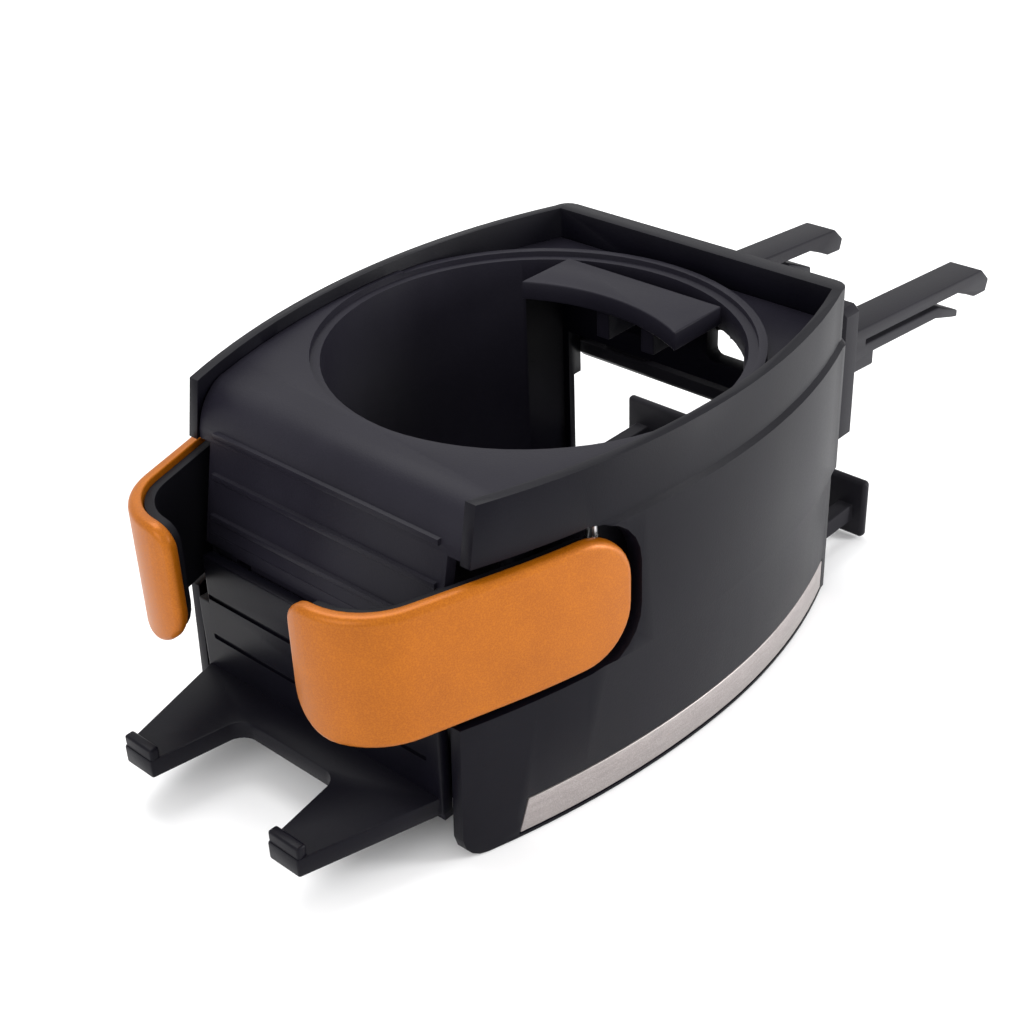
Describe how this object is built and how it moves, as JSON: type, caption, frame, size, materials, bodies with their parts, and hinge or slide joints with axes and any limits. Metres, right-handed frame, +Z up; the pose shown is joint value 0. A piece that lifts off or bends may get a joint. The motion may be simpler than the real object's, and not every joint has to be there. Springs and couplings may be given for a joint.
{
  "type": "vent-clip cup and phone holder",
  "caption": "Cup holder that clips to a car air vent, with a sprung cup pad and a phone cradle of swinging arms and a sliding foot on its front.",
  "frame": {"origin": "centre of the whole length and width, on the plane of the body's underside", "axes": "+Y to the back, along the vent clips; +Z up, along the cup's axis; +X to the right seen from the phone side"},
  "size_m": [0.0796, 0.1914, 0.0595],
  "materials": {
    "black_plastic": "fine satin",
    "orange_cover": "pearl satin",
    "silver_trim": "satin silver",
    "steel": "bright"
  },
  "bodies": {
    "frame": {"body_shell": "black_plastic", "cup_deck": "black_plastic", "cup_floor": "black_plastic", "clip_rail": "black_plastic", "trim_left": "silver_trim", "trim_right": "silver_trim", "arm_pin_left": "steel", "arm_pin_right": "steel", "arm_spring_left": "steel", "arm_spring_right": "steel", "pad_pin": "steel", "pad_spring": "steel", "rail_screw_1": "steel", "rail_screw_2": "steel", "rail_screw_3": "steel", "rail_screw_4": "steel", "floor_screw_1": "steel", "floor_screw_2": "steel", "floor_screw_3": "steel", "floor_screw_4": "steel"},
    "arm_left": {"arm_cover_left": "orange_cover", "arm_liner_left": "black_plastic"},
    "arm_right": {"arm_cover_right": "orange_cover", "arm_liner_right": "black_plastic"},
    "pad": {"cup_pad": "black_plastic"},
    "foot": {"phone_foot": "black_plastic"},
    "support": {"support_foot": "black_plastic"},
    "clip_left": {"vent_clip_left": "black_plastic"},
    "clip_right": {"vent_clip_right": "black_plastic"}
  },
  "joints": [
    {"name": "arm_left_swing", "type": "hinge", "parent": "frame", "child": "arm_left", "pos_m": [-0.0337, -0.0462, 0.0371], "axis": [0, 0, -1], "range_deg": [0, 20], "stiffness_Nm_per_rad": 0.15, "springref_deg": -14.32},
    {"name": "arm_right_swing", "type": "hinge", "parent": "frame", "child": "arm_right", "pos_m": [0.0337, -0.0462, 0.0371], "axis": [0, 0, 1], "range_deg": [0, 20], "stiffness_Nm_per_rad": 0.15, "springref_deg": -14.32},
    {"name": "cup_pad_tilt", "type": "hinge", "parent": "frame", "child": "pad", "pos_m": [0, 0.0188, 0.0492], "axis": [1, 0, 0], "range_deg": [0, 85], "stiffness_Nm_per_rad": 0.02, "springref_deg": -22.92},
    {"name": "phone_foot_slide", "type": "slide", "parent": "frame", "child": "foot", "axis": [0, 0, -1], "range_m": [0, 0.017]},
    {"name": "support_foot_slide", "type": "slide", "parent": "frame", "child": "support", "axis": [0, 1, 0], "range_m": [0, 0.009]},
    {"name": "vent_clip_left_slide", "type": "slide", "parent": "frame", "child": "clip_left", "axis": [1, 0, 0], "range_m": [-0.006, 0.011]},
    {"name": "vent_clip_right_slide", "type": "slide", "parent": "frame", "child": "clip_right", "axis": [1, 0, 0], "range_m": [-0.011, 0.006]}
  ]
}
